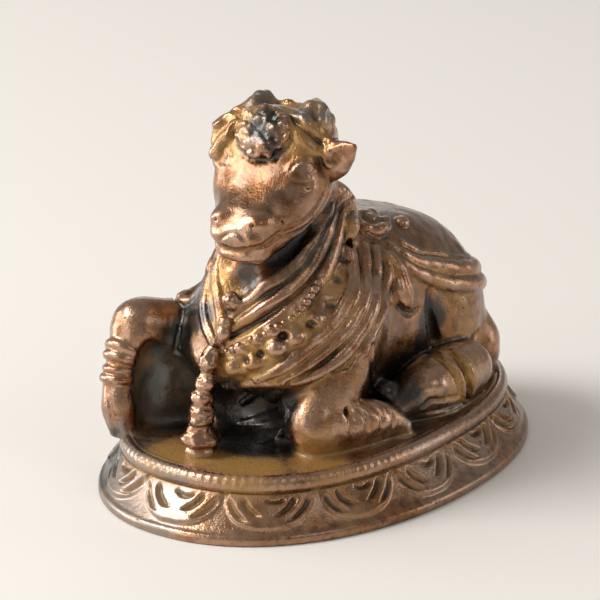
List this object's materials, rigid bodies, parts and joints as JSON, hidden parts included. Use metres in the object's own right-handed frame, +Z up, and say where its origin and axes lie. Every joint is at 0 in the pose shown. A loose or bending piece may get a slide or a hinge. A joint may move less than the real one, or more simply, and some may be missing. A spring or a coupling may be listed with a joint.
{
  "type": "nandi bull figure",
  "caption": "Small cast figure of a resting, garlanded bull with one foreleg raised, on an oval plinth with a band of lotus petals and a rounded lip.",
  "frame": {"origin": "centre of the plinth's underside, on the surface it stands on", "axes": "+Z up, the bull faces -Y, its left side is +X"},
  "size_m": [0.0518, 0.075, 0.0555],
  "materials": {
    "patinated_bronze": "antique copper-brown cast metal, satin to glossy, black patina in the recesses and ochre lacquer where it pools"
  },
  "bodies": {
    "root": {"nandi_bull": "patinated_bronze"}
  },
  "joints": []
}
